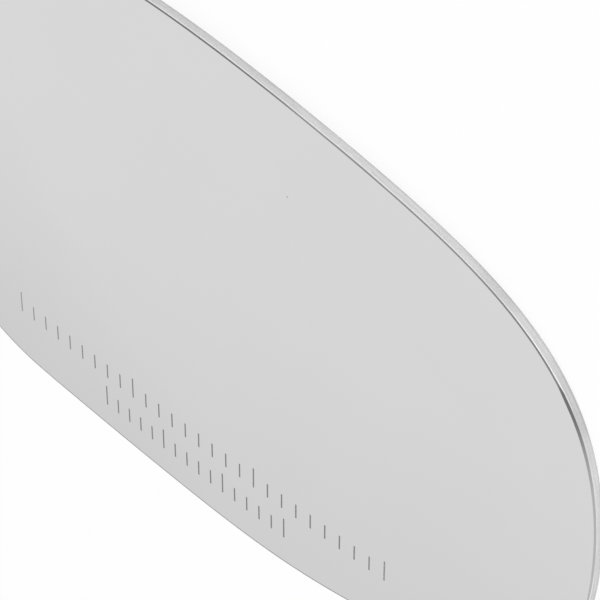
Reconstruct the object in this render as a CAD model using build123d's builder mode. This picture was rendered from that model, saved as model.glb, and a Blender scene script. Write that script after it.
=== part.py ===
"""Convex glass of a car door mirror, for the passenger's side: one bent sheet with a ground edge.

X runs from the inboard end to the outboard end, Y up the face and Z out of it. The glass lies face up, as
it comes to rest: its hollow back is turned down and the ends of its rim stand on Z = 0.
"""

import os

from build123d import *

# Overall sizes in mm
width = 180.0
height = 105.6
thickness = 2.0
face_radius = 1400.0  # of the convex front, the back being concentric with it
arris = 0.3  # flat ground along both edges of the rim

# Where the outline touches its four limits, from the middle of the glass
top_touch_x = -14.5
outboard_touch_y = -5.0
bottom_touch_x = 13.5
inboard_touch_y = -3.0

# Upper outboard corner: it droops from the top edge before it turns down
shoulder_top_reach = 44.5
shoulder_pull_in = 41.5
shoulder_pull_down = 12.8
shoulder_side_reach = 54.0

# Lower outboard corner: a wide sweep
heel_side_reach = 14.5
heel_pull_in = 1.7
heel_pull_up = 11.3
heel_bottom_reach = 34.4

# Bottom edge: a slight bend, then a straight run that climbs towards the inboard end
bottom_bend_radius = 320.0
bottom_slope = 2.55  # degrees
bottom_straight = 42.0

# Inboard end: two round corners
toe_bottom_reach = 25.0
toe_side_reach = 25.0
crown_side_reach = 36.0
crown_top_reach = 50.0

half_width = width / 2
half_height = height / 2
top = (top_touch_x, half_height)
outboard = (half_width, outboard_touch_y)
bottom = (bottom_touch_x, -half_height)
inboard = (-half_width, inboard_touch_y)

# The two spheres share one centre below the glass, and their seams are turned away from it
face_centre = (0, 0, -face_radius)
seam_away = (90, 0, 0)

with BuildPart() as mirror_glass:
    with BuildSketch(Plane.XY.offset(-face_radius / 2)) as outline:
        with BuildLine():
            Bezier(
                top,
                (top_touch_x + shoulder_top_reach, half_height),
                (half_width - shoulder_pull_in, half_height - shoulder_pull_down),
                (half_width, outboard_touch_y + shoulder_side_reach),
                outboard,
            )
            Bezier(
                outboard,
                (half_width, outboard_touch_y - heel_side_reach),
                (half_width - heel_pull_in, heel_pull_up - half_height),
                (bottom_touch_x + heel_bottom_reach, -half_height),
                bottom,
            )
            bend = JernArc(bottom, (-1, 0), bottom_bend_radius, -bottom_slope)
            run = PolarLine(bend @ 1, bottom_straight, direction=bend % 1)
            Bezier(
                run @ 1,
                run @ 1 + toe_bottom_reach * (run % 1),
                (-half_width, inboard_touch_y - toe_side_reach),
                inboard,
            )
            Bezier(
                inboard,
                (-half_width, inboard_touch_y + crown_side_reach),
                (top_touch_x - crown_top_reach, half_height),
                top,
            )
        make_face()
    extrude(amount=face_radius)
    with Locations(face_centre):
        Sphere(face_radius, rotation=seam_away, mode=Mode.INTERSECT)
        Sphere(face_radius - thickness, rotation=seam_away, mode=Mode.SUBTRACT)
    rim_edges = mirror_glass.faces().filter_by(GeomType.SPHERE).edges()
    chamfer(rim_edges, arris)

# The lowest points of the rim stand on Z = 0
drop = Location((0, 0, -mirror_glass.part.bounding_box().min.Z))
mirror_glass.part.locate(drop)

os.makedirs("parts", exist_ok=True)
mirror_glass.part.label = "mirror_glass"
export_step(mirror_glass.part, "parts/mirror_glass.step")
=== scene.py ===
# %% [markdown]
# # A car door mirror glass
# The glass is one bent sheet with a bright metal film on its convex face, a ground edge all round and a
# lacquered back. The CAD solid holds its shape. This lesson dresses it: it draws the sheet again with a
# finer mesh, gives each surface the finish that the workshop left on it, and lights it on a pale floor.

# %% Load the frame
from math import atan2, cos, pi, radians, sin, sqrt

import bmesh
import bpy
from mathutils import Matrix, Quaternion, Vector
from numpy import interp


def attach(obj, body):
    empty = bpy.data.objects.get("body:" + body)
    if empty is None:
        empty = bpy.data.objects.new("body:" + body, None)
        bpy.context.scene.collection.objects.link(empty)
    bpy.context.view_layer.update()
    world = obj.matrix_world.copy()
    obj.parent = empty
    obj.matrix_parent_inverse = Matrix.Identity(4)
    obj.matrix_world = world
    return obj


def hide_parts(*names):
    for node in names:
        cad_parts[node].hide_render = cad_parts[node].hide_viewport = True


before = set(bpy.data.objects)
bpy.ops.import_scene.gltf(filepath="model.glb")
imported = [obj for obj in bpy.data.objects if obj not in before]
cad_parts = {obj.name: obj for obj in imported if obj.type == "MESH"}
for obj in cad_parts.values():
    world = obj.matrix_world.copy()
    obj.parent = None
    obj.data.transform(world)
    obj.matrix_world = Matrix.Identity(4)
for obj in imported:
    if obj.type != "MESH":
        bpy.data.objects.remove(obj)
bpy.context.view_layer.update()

MM = 0.001  # in metres, which is what the frame and Blender count in
scene = bpy.context.scene
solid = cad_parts["mirror_glass"]

# %% [markdown]
# ## Camera
# The glass lies on its hollow back, so the camera looks down on it, from beyond the upper outboard corner.
# It is turned about its line of sight until the long axis of the glass falls from the upper left to the
# lower right, with the near rim along the top of the picture. A long lens keeps the flat perspective of a
# product shot. A constraint could aim the camera, but a quaternion says the same in one line and leaves
# nothing live.

# %% Camera
camera_azimuth = 141.89  # degrees: at 0 the camera looks along +Y, at 90 along -X
camera_elevation = 32.20  # degrees above the floor
camera_roll = -122.52  # degrees about the line of sight
camera_distance = 520.0 * MM
camera_lens = 190.74  # focal length in mm
aim = Vector((26.48, 12.97, 4.91)) * MM

turn = radians(camera_azimuth)
rise = radians(camera_elevation)
towards_camera = Vector((sin(turn) * cos(rise), -cos(turn) * cos(rise), sin(rise)))
level = (-towards_camera).to_track_quat("-Z", "Y")
camera = bpy.data.objects.new("camera", bpy.data.cameras.new("camera"))
camera.data.lens = camera_lens
camera.location = aim + camera_distance * towards_camera
camera.rotation_mode = "QUATERNION"
camera.rotation_quaternion = level @ Quaternion((0, 0, 1), radians(camera_roll))
scene.collection.objects.link(camera)
scene.camera = camera
print("camera at", [round(side / MM) for side in camera.location], "mm")

# %% [markdown]
# ## Rim of the solid
# The rim is a free-form loop: long flat curves along the top and bottom, and rounder ends. It could be
# drawn again by hand, but the CAD solid already holds it, so it is read from there. The corners where the
# wall of the solid meets its front arris lie on the true curve, and the slope of a facet tells the wall,
# the arris and the face apart. A CAD mesh is loose triangles, so a copy of it is welded first.

# %% Rim of the solid
wall_slope = 0.3  # upward part of a facet's normal: less than this on the wall
face_slope = 0.95  # and more than this on the face
weld = 0.001 * MM  # corners this close are one point


def rim_points(part):
    """Points where the wall of the solid meets its front arris, in order round the rim."""
    bm = bmesh.new()
    bm.from_mesh(part.data)
    bmesh.ops.remove_doubles(bm, verts=bm.verts, dist=weld)
    wall = {v for f in bm.faces if abs(f.normal.z) < wall_slope for v in f.verts}
    front_arris = {v for f in bm.faces if wall_slope < f.normal.z < face_slope for v in f.verts}
    points = sorted((v.co.copy() for v in wall & front_arris), key=lambda p: atan2(p.y, p.x))
    bm.free()
    return points


rim = rim_points(solid)
print(len(rim), "points read from the rim of the solid")

# %% [markdown]
# ## Smooth loop
# The wheel that shapes the real rim leaves it smooth, while the solid has short straight facets there,
# which would show in the thin line along the edge. A NURBS spline would be smooth too, but it cuts inside
# its points and would make the glass smaller. A Bezier spline with automatic handles passes through every
# point, so that one is used. Blender turns it into a loop of short edges, which is laid flat for now.

# %% Smooth loop
loop_steps = 4  # short edges from one point of the rim to the next


def smooth_loop(points):
    """A mesh of edges along the smooth closed curve through the points, laid flat."""
    curve = bpy.data.curves.new("rim_line", "CURVE")
    curve.dimensions = "3D"
    spline = curve.splines.new("BEZIER")
    spline.bezier_points.add(len(points) - 1)
    for knot, point in zip(spline.bezier_points, points):
        knot.co = (point.x, point.y, 0)
    for knot in spline.bezier_points:
        knot.handle_left_type = "AUTO"
        knot.handle_right_type = "AUTO"
    spline.use_cyclic_u = True
    spline.resolution_u = loop_steps
    holder = bpy.data.objects.new("rim_line", curve)
    loop = bpy.data.meshes.new_from_object(holder)
    bpy.data.objects.remove(holder)
    return loop


rim_loop = smooth_loop(rim)
print(len(rim_loop.vertices), "points on the smooth loop")

# %% [markdown]
# ## Sheet of glass
# The real glass starts as a flat sheet and is slumped over a round mould in an oven. The mesh is made in
# that order too, because each step is simple while the sheet is flat: fill the loop, extrude it by the
# thickness, and bevel both edges to the arris. Solidify and Bevel modifiers could do the same, but the next
# steps need the finished faces to work on.

# %% Sheet of glass
thickness = 2.0 * MM
arris = 0.3 * MM

sheet = bmesh.new()
sheet.from_mesh(rim_loop)
front = bmesh.ops.contextual_create(sheet, geom=sheet.edges)["faces"][0]
grown = bmesh.ops.extrude_face_region(sheet, geom=[front])["geom"]
lower = [item for item in grown if isinstance(item, bmesh.types.BMVert)]
bmesh.ops.translate(sheet, vec=(0, 0, -thickness), verts=lower)
bmesh.ops.recalc_face_normals(sheet, faces=sheet.faces)
level_edges = [e for e in sheet.edges if abs(e.verts[0].co.z - e.verts[1].co.z) < arris]
bmesh.ops.bevel(
    sheet, geom=level_edges, offset=arris, offset_type="OFFSET", segments=1, profile=0.5,
    affect="EDGES", material=-1,
)
print("flat sheet:", len(sheet.faces), "faces,", round(sheet.calc_volume() / MM**3), "cubic mm")

# %% [markdown]
# ## Finish of each face
# Each surface of the glass was left by another tool: the film by a vacuum chamber, the arris by a belt, the
# edge by a wheel, the back by a spray gun and the strokes by acid. Each finish could be an object of its
# own, but the glass is one piece, so it is one mesh whose faces carry a material number. On the flat sheet
# the slope of a face tells its number, and every later cut hands that number on. The arris at the back,
# which is hardly seen, goes with the edge.

# %% Finish of each face
FACE, ARRIS, EDGE, BACK, ETCH = range(5)


def finish_of(slope):
    """The material number of a face on the flat sheet, from the upward part of its normal."""
    if slope > face_slope:
        return FACE
    if slope > wall_slope:
        return ARRIS
    if slope > -face_slope:
        return EDGE
    return BACK


for f in sheet.faces:
    f.material_index = finish_of(f.normal.z)
print("material numbers on the flat sheet:", sorted({f.material_index for f in sheet.faces}))

# %% [markdown]
# ## Bare strip along the rim
# The belt that takes the corner off the glass also takes a hair of film off the face beside it. That strip
# is a few hundredths of a millimetre wide along most of the rim, wider at the height of the outboard
# shoulder and widest along the lower rim. The film's material could leave it out with a mask, but a border
# in the mesh stays sharp at any distance. One inset makes the strip. Each point of its inner border then
# slides along its spoke, the short edge from the rim, to the width that belongs to its height.

# %% Bare strip along the rim
strip_heights = (-24.0, -18.0, 13.5, 21.5, 23.8, 25.0, 26.4, 28.2)  # mm up the face
strip_widths = (0.27, 0.05, 0.05, 0.11, 0.12, 0.16, 0.15, 0.03)  # mm of bare strip at those heights

front = next(f for f in sheet.faces if f.material_index == FACE)
narrowest = min(strip_widths) * MM
inset = bmesh.ops.inset_region(sheet, faces=[front], thickness=narrowest, use_even_offset=True)
ring = set(inset["faces"])
# The strip takes the arris material, whose dark line is partly bare glass and partly a painted reflection.
for f in ring:
    f.material_index = ARRIS
spokes = [e for e in sheet.edges if ring.issuperset(e.link_faces)]
for e in spokes:
    inner = next(v for v in e.verts if front in v.link_faces)
    outer = e.other_vert(inner)
    inward = (inner.co - outer.co).normalized()
    inner.co = outer.co + inward * interp(outer.co.y / MM, strip_heights, strip_widths) * MM
print("bare strip of", min(strip_widths), "to", max(strip_widths), "mm, with", len(spokes), "spokes")

# %% [markdown]
# ## Grid
# The two large faces need points all over them before they can bend. Subdividing fills faces of three or
# four sides, and these have hundreds, so the sheet is cut along a square grid instead: a plane can cut a
# face of any shape. Real glass has no such grid, and smooth shading hides it.

# %% Grid
grid = 4.0 * MM
snap = 0.015 * MM  # points this close to a cut count as on it


def cut(bm, faces, axis, place):
    """Cuts these faces at a place along an axis, 0 for X or 1 for Y, and returns the pieces."""
    normal = Vector((0, 0, 0))
    normal[axis] = 1
    geometry = dict.fromkeys(item for f in faces for item in (f, *f.edges, *f.verts))
    pieces = bmesh.ops.bisect_plane(
        bm, geom=list(geometry), dist=snap, plane_co=place * normal, plane_no=normal
    )["geom"]
    return [item for item in pieces if isinstance(item, bmesh.types.BMFace)]


for axis in (0, 1):
    lines = int(max(v.co[axis] for v in sheet.verts) / grid)
    for number in range(-lines, lines + 1):
        cut(sheet, sheet.faces, axis, number * grid)
print("grid of", round(grid / MM, 1), "mm:", len(sheet.faces), "faces")

# %% [markdown]
# ## Outlines of the strokes
# Low on the face the film is etched away in two short scales of plain strokes, with a tall one at each end
# and each third. A texture could paint them, but cut into the mesh they keep a sharp border at any
# distance. Only the faces near a scale are cut, so the rest of the grid stays as coarse as it was.

# %% Outlines of the strokes
stroke_width = 0.34 * MM
tall_stroke = 4.8 * MM
short_stroke = 3.4 * MM
scales = [
    {"foot": -38.7 * MM, "pitch": 3.5 * MM, "strokes": 28},
    {"foot": -45.9 * MM, "pitch": 3.1 * MM, "strokes": 16},
]


def within(faces, low, high):
    """The faces whose middle lies in the rectangle between two corners."""
    found = []
    for f in faces:
        middle = f.calc_center_median()
        if low[0] < middle.x < high[0] and low[1] < middle.y < high[1]:
            found.append(f)
    return found


for scale in scales:
    half = scale["strokes"] / 2 * scale["pitch"]
    third = (scale["strokes"] - 1) // 3
    foot = scale["foot"]
    top = foot + tall_stroke
    filmed = [f for f in sheet.faces if f.material_index == FACE]
    near = within(filmed, (-half - grid, foot - grid), (half + grid, top + grid))
    for line in (foot, foot + short_stroke, top):
        near = cut(sheet, near, 1, line)
    near = within(near, (-half - grid, foot), (half + grid, top))
    for number in range(scale["strokes"]):
        left = -half + (number + 0.5) * scale["pitch"] - stroke_width / 2
        right = left + stroke_width
        for side in (left, right):
            near = cut(sheet, near, 0, side)
        length = short_stroke if number % third else tall_stroke
        for f in within(near, (left, foot), (right, foot + length)):
            f.material_index = ETCH
print(sum(scale["strokes"] for scale in scales), "strokes cut;", len(sheet.faces), "faces in all")

# %% [markdown]
# ## Depth of the strokes
# The acid eats through the film and a few hundredths of a millimetre into the glass. A bump in the material
# would shade that step, but the step would be missing from the mesh, so the strokes are extruded, which
# gives each one its side walls, and moved down. Their edges are named with them, because an extrusion of
# faces alone leaves the old faces behind as lids.

# %% Depth of the strokes
stroke_depth = 0.03 * MM

strokes = [f for f in sheet.faces if f.material_index == ETCH]
stroke_edges = [e for e in sheet.edges if any(f.material_index == ETCH for f in e.link_faces)]
sunk = bmesh.ops.extrude_face_region(sheet, geom=[*strokes, *stroke_edges])["geom"]
floor_of_strokes = [item for item in sunk if isinstance(item, bmesh.types.BMVert)]
bmesh.ops.translate(sheet, vec=(0, 0, -stroke_depth), verts=floor_of_strokes)
print("strokes sunk by", round(stroke_depth / MM, 3), "mm;", len(sheet.faces), "faces in all")

# %% [markdown]
# ## Bending the sheet
# Oven-bent mirror glass is a part of a sphere, front and back about one centre. The centre is found from
# the face of the CAD solid. Each point of the flat sheet then drops by as much as the sphere falls away
# under it, and its depth in the sheet becomes its depth below the front sphere. A Simple Deform modifier
# would only bend along one axis and would stretch the outline; this keeps the outline as it was cut.

# %% Bending the sheet
face_radius = 1400.0 * MM


def above_centre(radius, point):
    """Height above its own centre that a sphere has over or under this point."""
    return sqrt(radius**2 - point.x**2 - point.y**2)


facets = [polygon for polygon in solid.data.polygons if polygon.normal.z > face_slope]
corners = sorted({index for facet in facets for index in facet.vertices})
places = [solid.data.vertices[index].co for index in corners]
centres = [point.z - above_centre(face_radius, point) for point in places]
centre_z = sum(centres) / len(centres)
for v in sheet.verts:
    v.co.z = centre_z + above_centre(face_radius + v.co.z, v.co)
print("sphere centre", round(-centre_z / MM, 2), "mm below the floor")
print("the corners of the face agree on it to", round((max(centres) - min(centres)) / MM, 4), "mm")

# %% [markdown]
# ## The piece
# Glass mirrors as one smooth curve, so the faces of the mesh are shaded smooth. That must stop at every
# border between finishes, or the tilt of the arris would leak into the reflection along the rim. A Smooth
# by Angle modifier would find the steep borders but not the flat one beside the bare strip, so the edges
# are marked sharp here, by finish and by angle.

# %% The piece
sharp_angle = radians(20)

for f in sheet.faces:
    f.smooth = True
for e in sheet.edges:
    finishes = {f.material_index for f in e.link_faces}
    e.smooth = len(finishes) == 1 and e.calc_face_angle(0) < sharp_angle
volume = sheet.calc_volume(signed=True)
glass_mesh = bpy.data.meshes.new("dressed_mirror_glass")
sheet.to_mesh(glass_mesh)
sheet.free()
glass = bpy.data.objects.new("dressed_mirror_glass", glass_mesh)
scene.collection.objects.link(glass)
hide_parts("mirror_glass")
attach(glass, "root")
print("dressed glass:", len(glass_mesh.polygons), "faces,", round(volume / MM**3), "cubic mm")

# %% [markdown]
# ## Colours and nodes
# Every finish is a tree of nodes. Written out in full, each node takes half a dozen lines, so one function
# adds a node with its settings, ramp stops, values and links. A colour is written as the hex value that a
# colour picker shows, and another function turns it to the linear values that light adds up in. A ramp that
# holds a share, and not a colour, has plain numbers as its stops.

# %% Colours and nodes
def linear(hex_colour):
    """Linear colour, with alpha, of an sRGB hex value."""
    shares = [int(hex_colour[at:at + 2], 16) / 255 for at in (1, 3, 5)]
    return [s / 12.92 if s <= 0.04045 else ((s + 0.055) / 1.055) ** 2.4 for s in shares] + [1.0]


def node(tree, kind, inputs=None, stops=(), **settings):
    """Adds a node, sets its settings and ramp stops, and gives each named input a value or a link."""
    made = tree.nodes.new(kind)
    for name, value in settings.items():
        setattr(made, name, value)
    for number, (position, value) in enumerate(stops):
        marks = made.color_ramp.elements
        mark = marks[number] if number < 2 else marks.new(position)
        mark.position = position
        mark.color = linear(value) if isinstance(value, str) else (value, value, value, 1.0)
    for name, value in (inputs or {}).items():
        if isinstance(value, bpy.types.NodeSocket):
            tree.links.new(value, made.inputs[name])
        else:
            made.inputs[name].default_value = value
    return made


print("the grey #D8D8D8 is, in linear values,", [round(c, 3) for c in linear("#D8D8D8")[:3]])

# %% [markdown]
# ## A new finish
# A finish starts as a Principled shader with the values of its real material, and the nodes then vary them.
# The patterns read Object coordinates, which are metres on the glass itself, so they stay in place from
# every side and their scale comes from a real size. The finishes are added in the order of their material
# numbers: face, arris, edge, back and etched strokes.

# %% A new finish
noise_low = 0.3  # nearly all of a noise lies between these two values
noise_high = 0.7
glass_ior = 1.52


def new_finish(name, **values):
    """A new material on the glass: its node tree, its shader with these values, and Object coordinates."""
    material = bpy.data.materials.new(name)
    material.use_nodes = True
    tree = material.node_tree
    shader = tree.nodes["Principled BSDF"]
    for socket, value in values.items():
        shader.inputs[socket].default_value = value
    glass_mesh.materials.append(material)
    return tree, shader, node(tree, "ShaderNodeTexCoord").outputs["Object"]


def per(length):
    """Texture scale at which one cell of a pattern is this long, in mm."""
    return 1 / (length * MM)


print("a pattern with cells of 1 mm has a scale of", round(per(1.0)))

# %% [markdown]
# ## Chromium film: clouds and a pinhole
# A door mirror that reflects from its front has a thin film of chromium, laid on the glass in a vacuum.
# Close up the film isn't perfect: it is a touch thinner in broad clouds, and a pinhole is left where a
# grain of dust lay. The pinhole could be a hole in the mesh, but it has no depth and soft borders, so a
# round gradient about its place is truer. Clouds and pinhole multiply into one share of the full film.

# %% Chromium film: clouds and a pinhole
cloud_size = 28.0  # mm
thin_film = 0.97  # of the full film, where a cloud is thinnest
pinhole = Vector((22.4, 32.1, 4.36)) * MM
pinhole_reach = 0.3 * MM  # from its middle to where the film is whole again

# Vacuum-coated chromium gives the eye a clear, neutral mirror, darker than silver.
tree, film, place = new_finish("chromium film on float glass", Metallic=1.0)
cloud = node(tree, "ShaderNodeTexNoise", {"Vector": place, "Scale": per(cloud_size), "Detail": 3.0})
density = node(
    tree, "ShaderNodeMapRange",
    {
        "Value": cloud.outputs["Fac"], "From Min": noise_low, "From Max": noise_high,
        "To Min": thin_film, "To Max": 1.0,
    },
)
about_pinhole = node(
    tree, "ShaderNodeMapping",
    {"Vector": place, "Location": pinhole, "Scale": [pinhole_reach] * 3}, vector_type="TEXTURE",
)
hole = node(
    tree, "ShaderNodeTexGradient", {"Vector": about_pinhole.outputs["Vector"]}, gradient_type="SPHERICAL"
)
covered = node(tree, "ShaderNodeMapRange", {"Value": hole.outputs["Fac"], "To Min": 1.0, "To Max": 0.0})
full_film = node(
    tree, "ShaderNodeMath",
    {0: density.outputs["Result"], 1: covered.outputs["Result"]}, operation="MULTIPLY",
)
print("film: clouds of", cloud_size, "mm and a pinhole", round(2 * pinhole_reach / MM, 2), "mm across")

# %% [markdown]
# ## Chromium film: grey and haze
# Chromium sends back about two thirds of the light, and it is as smooth as the float glass under it, with
# hardly any haze. A glossy shader alone would do for the mirror, but the Principled one exports with its
# colour and its haze. A ramp turns the share of film into a grey, and the clouds also set the haze.

# %% Chromium film: grey and haze
least_haze = 0.015
most_haze = 0.03

tint = node(
    tree, "ShaderNodeValToRGB", {"Fac": full_film.outputs["Value"]},
    stops=[(0.0, "#A8A8A8"), (1.0, "#D7D7D7")],
)
haze = node(
    tree, "ShaderNodeMapRange",
    {"Value": cloud.outputs["Fac"], "To Min": least_haze, "To Max": most_haze},
)
tree.links.new(tint.outputs["Color"], film.inputs["Base Color"])
tree.links.new(haze.outputs["Result"], film.inputs["Roughness"])
print("film: a roughness of", least_haze, "to", most_haze)

# %% [markdown]
# ## Place on the rim
# The finishes of the rim change in two directions: across it, from the film to the lacquer, and along it,
# where the painted reflections, highlights and shade change as the rim turns. An unwrapped UV map could
# hold both, but the shape of the glass gives them at once. The distance from the centre of the sphere says
# how deep below the face a point lies, and its Y says how far up the face it is.

# %% Place on the rim
sphere_centre = (0, 0, centre_z)
half_span = 55.0 * MM  # the face reaches a little less far up and down


def rim_place(tree, place, full_depth):
    """Sockets of the share of the full depth below the face, and of the share of the way up the face."""
    distance = node(tree, "ShaderNodeVectorMath", {0: place, 1: sphere_centre}, operation="DISTANCE")
    depth = node(
        tree, "ShaderNodeMapRange",
        {
            "Value": distance.outputs["Value"],
            "From Min": face_radius, "From Max": face_radius - full_depth,
        },
    )
    axes = node(tree, "ShaderNodeSeparateXYZ", {"Vector": place})
    up_the_face = node(
        tree, "ShaderNodeMapRange",
        {"Value": axes.outputs["Y"], "From Min": -half_span, "From Max": half_span},
    )
    return depth.outputs["Result"], up_the_face.outputs["Result"]


print("shares up the face run over", round(2 * half_span / MM), "mm")

# %% [markdown]
# ## Seamed arris: two lines
# A belt takes the sharp corner off the glass and leaves a flat three tenths of a millimetre deep. Beside
# the film the flat is dark, partly the grey of bare glass and partly a painted reflection, and towards the
# edge it turns to frost with a painted highlight, so the eye sees a fine double line along the rim. Two
# materials with a cut between them would give a hard border, and on real glass it is soft and wavers. So
# one material mixes two greys. A ramp up the face says how much of the flat is dark, a noise lets that
# border waver, and the depth of a point says on which side of it the point lies.

# %% Seamed arris: two lines
waver_size = 9.0  # mm
waver_share = 0.3  # of the flat, over which the border wanders
half_border = 0.12  # of the flat, from the middle of the border to its end

# Belt-ground glass gives the eye a fine line, dark on one side, with frost on the other; the dark side
# is partly a painted reflection and the bright side a painted highlight.
tree, seam, place = new_finish("seamed glass arris", IOR=glass_ior, Roughness=0.3)
depth, up_the_face = rim_place(tree, place, arris)
# How much of the flat carries the dark painted reflection, up the face; the rest carries the painted
# highlight.
dark_share = node(
    tree, "ShaderNodeValToRGB", {"Fac": up_the_face},
    stops=[
        (0.0, 0.05), (0.35, 0.3), (0.45, 0.73), (0.64, 0.73), (0.7, 0.947), (0.718, 0.8),
        (0.75, 0.783), (0.76, 0.503), (0.77, 0.451),
    ],
)
waver = node(tree, "ShaderNodeTexNoise", {"Vector": place, "Scale": per(waver_size), "Detail": 2.0})
border = node(
    tree, "ShaderNodeMath",
    {0: waver.outputs["Fac"], 1: waver_share, 2: dark_share.outputs["Color"]}, operation="MULTIPLY_ADD",
)
past_border = node(
    tree, "ShaderNodeMath", {0: depth, 1: border.outputs["Value"]}, operation="SUBTRACT"
)
frosted_and_highlit = node(
    tree, "ShaderNodeMapRange",
    {"Value": past_border.outputs["Value"], "From Min": -half_border, "From Max": half_border},
    interpolation_type="SMOOTHSTEP",
)
print("arris: a dark and a bright line on a flat of", round(arris / MM, 2), "mm")

# %% [markdown]
# ## Seamed arris: greys
# Both lines carry painted light, and they change along the rim as it turns: at the height of the outboard
# shoulder the painted reflection is darkest, just above that the painted highlight shines brightest, and
# low on the rim both fade. A noise could vary them at random, but these changes belong to places, so a ramp
# up the face holds the grey of each line.

# %% Seamed arris: greys
# Painted reflection: the grey of the dark line along the rim, which is partly bare glass.
dark_line_painted_reflection = node(
    tree, "ShaderNodeValToRGB", {"Fac": up_the_face},
    stops=[
        (0.0, "#909090"), (0.43, "#B4B4B4"), (0.6, "#AAAAAA"), (0.66, "#949494"), (0.715, "#666666"),
        (0.753, "#626262"), (0.76, "#7B7B7B"), (0.785, "#747474"), (0.83, "#747474"), (0.87, "#868686"),
        (0.949, "#8A8A8A"), (0.962, "#6C6C6C"),
    ],
)
# Painted highlight: the grey of the bright line along the rim.
painted_highlight_line = node(
    tree, "ShaderNodeValToRGB", {"Fac": up_the_face},
    stops=[
        (0.0, "#DEDEDE"), (0.64, "#F4F4F4"), (0.7, "#D0D0D0"), (0.731, "#DEDEDE"), (0.743, "#FFFFFF"),
        (0.76, "#F6F6F6"), (0.81, "#F0F0F0"), (0.835, "#E6E6E6"), (0.85, "#D8D8D8"), (0.87, "#E2E2E2"),
    ],
)
tint = node(
    tree, "ShaderNodeMix",
    {"Factor": frosted_and_highlit.outputs["Result"], 6: dark_line_painted_reflection.outputs["Color"], 7: painted_highlight_line.outputs["Color"]},
    data_type="RGBA",
)
tree.links.new(tint.outputs[2], seam.inputs["Base Color"])
print("arris:", len(dark_line_painted_reflection.color_ramp.elements), "greys along the dark line and",
      len(painted_highlight_line.color_ramp.elements), "along the bright one")

# %% [markdown]
# ## Ground edge: scratches and grit
# A diamond wheel runs along the cut edge and leaves it frosted: a pale, even grey that scatters light, with
# fine scratches along the wheel's path and the grain of the grit between them. A picture of ground glass
# could be wrapped round the rim, but it would need a seam. Noise has none, and it is stretched along the
# rim by reading depth much more finely than place. A shallow bump lets the scratches catch the light.

# %% Ground edge: scratches and grit
# Real grit marks are a few hundredths of a millimetre wide. To show, they are drawn ten times as coarse.
scratch_width = 0.35  # mm
scratch_length = 6.0  # mm
grit_size = 0.25  # mm
scratch_depth = 0.02 * MM
scratch_relief = 0.25  # strength of the bump

# Wheel-ground glass gives the eye a matt, frosty grey with a faint grain along the rim.
tree, edge, place = new_finish("ground glass edge", IOR=glass_ior, Roughness=0.6)
depth, up_the_face = rim_place(tree, place, thickness)
axes = node(tree, "ShaderNodeSeparateXYZ", {"Vector": place})
along = node(
    tree, "ShaderNodeCombineXYZ", {"X": axes.outputs["X"], "Y": axes.outputs["Y"], "Z": depth}
)
stretched = node(
    tree, "ShaderNodeMapping",
    {
        "Vector": along.outputs["Vector"],
        "Scale": (per(scratch_length), per(scratch_length), thickness / MM / scratch_width),
    },
)
scratches = node(
    tree, "ShaderNodeTexNoise", {"Vector": stretched.outputs["Vector"], "Scale": 1.0, "Detail": 4.0}
)
grit = node(tree, "ShaderNodeTexNoise", {"Vector": place, "Scale": per(grit_size), "Detail": 2.0})
relief = node(
    tree, "ShaderNodeBump",
    {"Height": scratches.outputs["Fac"], "Strength": scratch_relief, "Distance": scratch_depth},
)
tree.links.new(relief.outputs["Normal"], edge.inputs["Normal"])
print("edge: scratches", scratch_width, "by", scratch_length, "mm, grit of", grit_size, "mm")

# %% [markdown]
# ## Ground edge: tone
# Scratches and grit add up to one tone, which is darker towards the back. Along the rim the edge is painted
# darker in two stretches as well, at the height of the outboard shoulder and above it: painted shade where
# the light falls off. A lamp could be moved until it shaded them so; here a ramp holds how much of the grey
# is left.

# %% Ground edge: tone
scratch_weight = 0.7
grit_weight = 0.6
front_tone = 0.09  # added to the tone from the front as far as back_starts
back_tone = -0.36  # added to it from back_ends on
back_starts = 0.6  # of the thickness
back_ends = 0.95

towards_back = node(
    tree, "ShaderNodeMapRange",
    {
        "Value": depth, "From Min": back_starts, "From Max": back_ends,
        "To Min": front_tone, "To Max": back_tone,
    },
)
grainy = node(
    tree, "ShaderNodeMath",
    {0: grit.outputs["Fac"], 1: grit_weight, 2: towards_back.outputs["Result"]}, operation="MULTIPLY_ADD",
)
tone = node(
    tree, "ShaderNodeMath",
    {0: scratches.outputs["Fac"], 1: scratch_weight, 2: grainy.outputs["Value"]}, operation="MULTIPLY_ADD",
)
grind = node(
    tree, "ShaderNodeValToRGB", {"Fac": tone.outputs["Value"]},
    stops=[(0.0, "#AEAEAE"), (1.0, "#E7E7E7")],
)
# Painted shade: the share of the grey that is left in each stretch up the face.
painted_shade_stretches = node(
    tree, "ShaderNodeValToRGB", {"Fac": up_the_face},
    stops=[
        (0.62, 1.0), (0.685, 0.939), (0.7, 0.831), (0.755, 0.831), (0.79, 0.939), (0.832, 0.947),
        (0.845, 0.839), (0.857, 0.839), (0.87, 0.956), (0.945, 0.956), (0.962, 0.905),
    ],
)
shaded_grind = node(
    tree, "ShaderNodeVectorMath",
    {0: grind.outputs["Color"], 1: painted_shade_stretches.outputs["Color"]}, operation="MULTIPLY",
)
print("edge: the tone falls by", round(front_tone - back_tone, 2), "towards the back")

# %% [markdown]
# ## Ground edge: glint
# At the height of the outboard shoulder the corner between arris and edge catches the light as a bright
# glint, which is a painted highlight. One more bevel there could catch the light, but the glint fades out
# at both ends, and a bevel would stop short. So it is painted where two masks meet: one across the edge,
# close to its front, and one along the rim, about the shoulder.

# %% Ground edge: glint
edge_starts = arris / thickness  # where the arris ends, as a share of the thickness
glint_width = 0.09  # of the thickness

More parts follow.
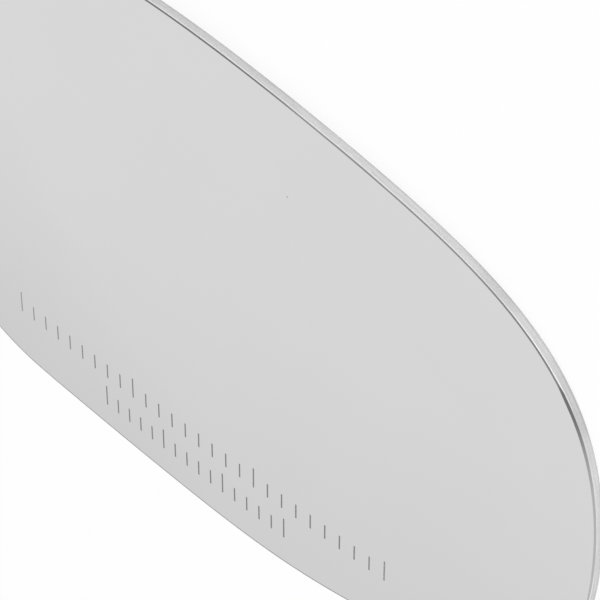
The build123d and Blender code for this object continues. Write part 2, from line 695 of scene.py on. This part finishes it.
along_rim = node(
    tree, "ShaderNodeValToRGB", {"Fac": up_the_face},
    stops=[(0.722, 0.0), (0.74, 1.0), (0.75, 1.0), (0.775, 0.0)],
)
across_edge = node(
    tree, "ShaderNodeMapRange",
    {"Value": depth, "From Min": edge_starts + glint_width, "From Max": edge_starts},
    interpolation_type="SMOOTHSTEP",
)
# Painted highlight: white is mixed into the edge where the two masks meet.
glint = node(
    tree, "ShaderNodeMath",
    {0: along_rim.outputs["Color"], 1: across_edge.outputs["Result"]}, operation="MULTIPLY",
)
tint = node(
    tree, "ShaderNodeMix",
    {"Factor": glint.outputs["Value"], 6: shaded_grind.outputs["Vector"], 7: linear("#FFFFFF")}, data_type="RGBA",
)
tree.links.new(tint.outputs[2], edge.inputs["Base Color"])
print("edge: a glint", round(glint_width * thickness / MM, 2), "mm wide")

# %% [markdown]
# ## Lacquered back
# The back of a mirror glass is sprayed with a grey lacquer, which seals it and keeps light from showing
# through the thin film, before it is bonded to its holder. It dries with the fine dimples that sprayers
# call orange peel. Dimples in the mesh would need hundreds of thousands of faces, so a noise gives them as
# a bump and as a faint change of grey.

# %% Lacquered back
dimple_size = 1.6  # mm
dimple_depth = 0.05 * MM
dimple_relief = 0.3  # strength of the bump

# Sprayed lacquer gives the eye a plain mid grey with a soft sheen that breaks up into dimples.
tree, lacquer, place = new_finish("sprayed grey lacquer", Roughness=0.45)
dimples = node(tree, "ShaderNodeTexNoise", {"Vector": place, "Scale": per(dimple_size), "Detail": 2.0})
tint = node(
    tree, "ShaderNodeValToRGB", {"Fac": dimples.outputs["Fac"]},
    stops=[(noise_low, "#6B6E70"), (noise_high, "#74777A")],
)
relief = node(
    tree, "ShaderNodeBump",
    {"Height": dimples.outputs["Fac"], "Strength": dimple_relief, "Distance": dimple_depth},
)
tree.links.new(tint.outputs["Color"], lacquer.inputs["Base Color"])
tree.links.new(relief.outputs["Normal"], lacquer.inputs["Normal"])
print("back: dimples of", dimple_size, "mm")

# %% [markdown]
# ## Etched glass
# Where the film is etched through, the bare glass is left with a fine frost. It no longer mirrors, so it
# shows as a soft grey in the bright face. A see-through shader could show the lacquer below, but frost this
# fine hides it, and a plain grey renders with less noise. The acid bit deepest in the middle of the scales,
# and both ends are paler, the inboard one most. A ramp along X holds that change, and a grain is laid over
# it.

# %% Etched glass
frost_size = 0.5  # mm: real frost is finer than the eye can see, so it is drawn coarser
frost_swing = 0.1  # how far the grain lightens and darkens the grey
scale_end = 50.0 * MM  # from the middle of the scales to just past the ends of the longer one

# Acid-etched glass gives the eye a dull grey with no reflection.
tree, frost, place = new_finish("etched glass", IOR=glass_ior, Roughness=0.7)
axes = node(tree, "ShaderNodeSeparateXYZ", {"Vector": place})
along_scale = node(
    tree, "ShaderNodeMapRange", {"Value": axes.outputs["X"], "From Min": -scale_end, "From Max": scale_end}
)
bite = node(
    tree, "ShaderNodeValToRGB", {"Fac": along_scale.outputs["Result"]},
    stops=[
        (0.02, "#A4A4A4"), (0.12, "#969696"), (0.2, "#8E8E8E"), (0.45, "#848484"), (0.88, "#848484"),
        (0.97, "#949494"),
    ],
)
grain = node(tree, "ShaderNodeTexNoise", {"Vector": place, "Scale": per(frost_size), "Detail": 3.0})
sparkle = node(
    tree, "ShaderNodeMapRange",
    {
        "Value": grain.outputs["Fac"], "From Min": noise_low, "From Max": noise_high,
        "To Min": 1.0 - frost_swing, "To Max": 1.0 + frost_swing,
    },
)
tint = node(
    tree, "ShaderNodeVectorMath",
    {0: bite.outputs["Color"], "Scale": sparkle.outputs["Result"]}, operation="SCALE",
)
tree.links.new(tint.outputs["Vector"], frost.inputs["Base Color"])
print("finishes on the glass:", [material.name for material in glass_mesh.materials])

# %% [markdown]
# ## Floor
# The glass lies on a sheet of white paper that fills the picture. The editor's own Add Plane would do, but
# it depends on the state of the editor, so the floor is a grid of one face, made with the same operators as
# the glass. It is part of the stage and not of the object.

# %% Floor
floor_half = 2.0  # metres

bm = bmesh.new()
bmesh.ops.create_grid(bm, x_segments=1, y_segments=1, size=floor_half)
floor_mesh = bpy.data.meshes.new("floor")
bm.to_mesh(floor_mesh)
bm.free()
floor = bpy.data.objects.new("floor", floor_mesh)
scene.collection.objects.link(floor)
print("floor", 2 * floor_half, "m square")

# %% [markdown]
# ## White paper
# As a lit surface the paper would come out grey, and brighter lamps would wash out the glass. So what the
# camera, a reflection or a refraction sees of it is mostly plain white, with a share of the lit surface
# kept for the shadow, while the light that it throws back on the glass is a real bounce.

# %% White paper
whiteness = 0.94  # share of plain white in what is seen

# Matt white paper gives the eye an even ground that shows nothing but the shadow.
paper = bpy.data.materials.new("white paper floor")
paper.use_nodes = True
tree = paper.node_tree
lit = tree.nodes["Principled BSDF"]
lit.inputs["Base Color"].default_value = linear("#F4F4F4")
lit.inputs["Roughness"].default_value = 0.9
rays = node(tree, "ShaderNodeLightPath")
seen_or_mirrored = node(
    tree, "ShaderNodeMath",
    {0: rays.outputs["Is Camera Ray"], 1: rays.outputs["Is Glossy Ray"]}, operation="MAXIMUM",
)
seen_at_all = node(
    tree, "ShaderNodeMath",
    {0: seen_or_mirrored.outputs["Value"], 1: rays.outputs["Is Transmission Ray"]}, operation="MAXIMUM",
)
share = node(tree, "ShaderNodeMath", {0: seen_at_all.outputs["Value"], 1: whiteness}, operation="MULTIPLY")
white = node(tree, "ShaderNodeEmission", {"Color": linear("#FFFFFF"), "Strength": 1.0})
mixed = node(
    tree, "ShaderNodeMixShader",
    {0: share.outputs["Value"], 1: lit.outputs["BSDF"], 2: white.outputs["Emission"]},
)
tree.links.new(mixed.outputs["Shader"], tree.nodes["Material Output"].inputs["Surface"])
floor_mesh.materials.append(paper)
print("paper:", round(100 * whiteness), "percent plain white where it is seen")

# %% [markdown]
# ## Studio: walls and screen
# A mirror looks like what stands around it. Here that is a pale grey studio with one wide white screen
# where the camera's view is mirrored to. The screen is a little dimmer low down and towards one end, and
# that gives the face its slow change of grey. Boards and lamps could be built, but the world is simpler: it
# is drawn by direction alone, so it stays in place whatever moves, and it lights nothing that it isn't
# meant to.

# %% Studio: walls and screen
screen_middle = Vector((-0.506, -0.680, 0.530))  # direction from the glass
screen_end = Vector((-0.30, -0.94, 0.14))  # direction of its dimmer end
screen_reach = 16  # degrees from its middle
screen_border = 2  # degrees over which it fades

scene.view_settings.view_transform = "Standard"
scene.world = bpy.data.worlds.new("studio")
scene.world.use_nodes = True
tree = scene.world.node_tree
tree.nodes.clear()
direction = node(tree, "ShaderNodeTexCoord").outputs["Generated"]
endwards = node(tree, "ShaderNodeVectorMath", {0: direction, 1: screen_end}, operation="DOT_PRODUCT")
ends = node(
    tree, "ShaderNodeValToRGB", {"Fac": endwards.outputs["Value"]},
    stops=[(0.79, "#FFFFFF"), (0.82, "#FEFEFE"), (0.855, "#FDFDFD"), (0.92, "#F4F4F4"), (1.0, "#E6E6E6")],
)
height = node(tree, "ShaderNodeSeparateXYZ", {"Vector": direction}).outputs["Z"]
low_down = node(
    tree, "ShaderNodeValToRGB", {"Fac": height},
    stops=[(0.0, "#B4B4B4"), (0.3, "#F0F0F0"), (0.46, "#FFFFFF"), (0.75, "#FFFFFF"), (1.0, "#F4F4F4")],
)
walls = node(
    tree, "ShaderNodeVectorMath",
    {0: ends.outputs["Color"], 1: low_down.outputs["Color"]}, operation="MULTIPLY",
)
facing = node(tree, "ShaderNodeVectorMath", {0: direction, 1: screen_middle}, operation="DOT_PRODUCT")
screen = node(
    tree, "ShaderNodeMapRange",
    {
        "Value": facing.outputs["Value"], "From Min": cos(radians(screen_reach)),
        "From Max": cos(radians(screen_reach - screen_border)),
    },
)
print("studio: a white screen", 2 * screen_reach, "degrees across")

# %% [markdown]
# ## Studio: bands of light
# From other sides the face mirrors long soft bands of light, which is how the eye tells a mirror from grey
# paint. Strip lamps could make them, but a mirrored lamp adds to what is behind it and soon burns out to
# white. Drawn in the world, the bands keep soft borders. How far a direction leans across them is divided
# by how steeply it rises, as on a ceiling seen from below, and a fraction repeats the pair of bands.

# %% Studio: bands of light
band_heading = radians(30)
band_pitch = 0.28  # from one pair of bands to the next, on a ceiling one unit up
band_lift = 0.6  # added to the rise, so that the bands stay wide at the horizon
dim = 0.631  # strength of the wall between two bands
narrow_band = 0.956  # strength of the narrow band, where that of the wide one is 1

across = node(
    tree, "ShaderNodeVectorMath",
    {0: direction, 1: (cos(band_heading), sin(band_heading), 0)}, operation="DOT_PRODUCT",
)
raised = node(
    tree, "ShaderNodeMath",
    {0: height, 1: band_pitch, 2: band_pitch * band_lift}, operation="MULTIPLY_ADD",
)
spread = node(
    tree, "ShaderNodeMath", {0: across.outputs["Value"], 1: raised.outputs["Value"]}, operation="DIVIDE"
)
within_pitch = node(tree, "ShaderNodeMath", {0: spread.outputs["Value"]}, operation="FRACT")
bands = node(
    tree, "ShaderNodeValToRGB", {"Fac": within_pitch.outputs["Value"]},
    stops=[
        (0.06, dim), (0.1, 1.0), (0.4, 1.0), (0.44, dim),
        (0.54, dim), (0.57, narrow_band), (0.65, narrow_band), (0.68, dim),
    ],
)
strength = node(
    tree, "ShaderNodeMath",
    {0: bands.outputs["Color"], 1: screen.outputs["Result"]}, operation="MAXIMUM",
)
print("studio: a wide and a narrow band in each pitch of", band_pitch)

# %% [markdown]
# ## Studio: what each ray sees
# Walls and bands are for reflections only. The camera itself sees plain white past the floor, and the
# frosted surfaces get an even light from all round. One background for all three would turn the ground of
# the picture grey, and each change of the bands would change the light on the frosted surfaces, so a Light
# Path node chooses between three of them.

# %% Studio: what each ray sees
even_light = 0.64  # strength, where plain white has 1

around = node(
    tree, "ShaderNodeBackground", {"Color": walls.outputs["Vector"], "Strength": strength.outputs["Value"]}
)
plain = node(tree, "ShaderNodeBackground", {"Color": linear("#FFFFFF"), "Strength": 1.0})
soft = node(tree, "ShaderNodeBackground", {"Color": linear("#FFFFFF"), "Strength": even_light})
rays = node(tree, "ShaderNodeLightPath")
mirrored = node(
    tree, "ShaderNodeMath",
    {0: rays.outputs["Is Glossy Ray"], 1: rays.outputs["Is Transmission Ray"]}, operation="MAXIMUM",
)
light = node(
    tree, "ShaderNodeMixShader",
    {0: mirrored.outputs["Value"], 1: soft.outputs["Background"], 2: around.outputs["Background"]},
)
view = node(
    tree, "ShaderNodeMixShader",
    {0: rays.outputs["Is Camera Ray"], 1: light.outputs["Shader"], 2: plain.outputs["Background"]},
)
node(tree, "ShaderNodeOutputWorld", {"Surface": view.outputs["Shader"]})
print("studio: an even light of", even_light)

# %% [markdown]
# ## Key lamp
# One broad soft lamp beyond the upper outboard rim gives the ground edge its direction: the edge is
# brightest where it faces the lamp, and a faint soft shadow falls on the other side. A sun lamp would draw
# that shadow hard. The film would mirror the lamp as a white square, so it is hidden from reflections.

# %% Key lamp
lamp_place = Vector((0.56, 0.62, 0.9))  # metres
lamp_side = 0.62  # metres
lamp_brightness = 5.1  # of its face, where the white floor's own is 1

lamp = bpy.data.objects.new("key_lamp", bpy.data.lights.new("key_lamp", "AREA"))
lamp.data.size = lamp_side
lamp.data.energy = lamp_brightness * pi * lamp_side**2
lamp.location = lamp_place
lamp.rotation_mode = "QUATERNION"
lamp.rotation_quaternion = (-lamp_place).to_track_quat("-Z", "Y")
lamp.visible_camera = False
lamp.visible_glossy = False
scene.collection.objects.link(lamp)
print("key lamp of", round(lamp.data.energy, 1), "W,", round(lamp_place.length, 2), "m away")
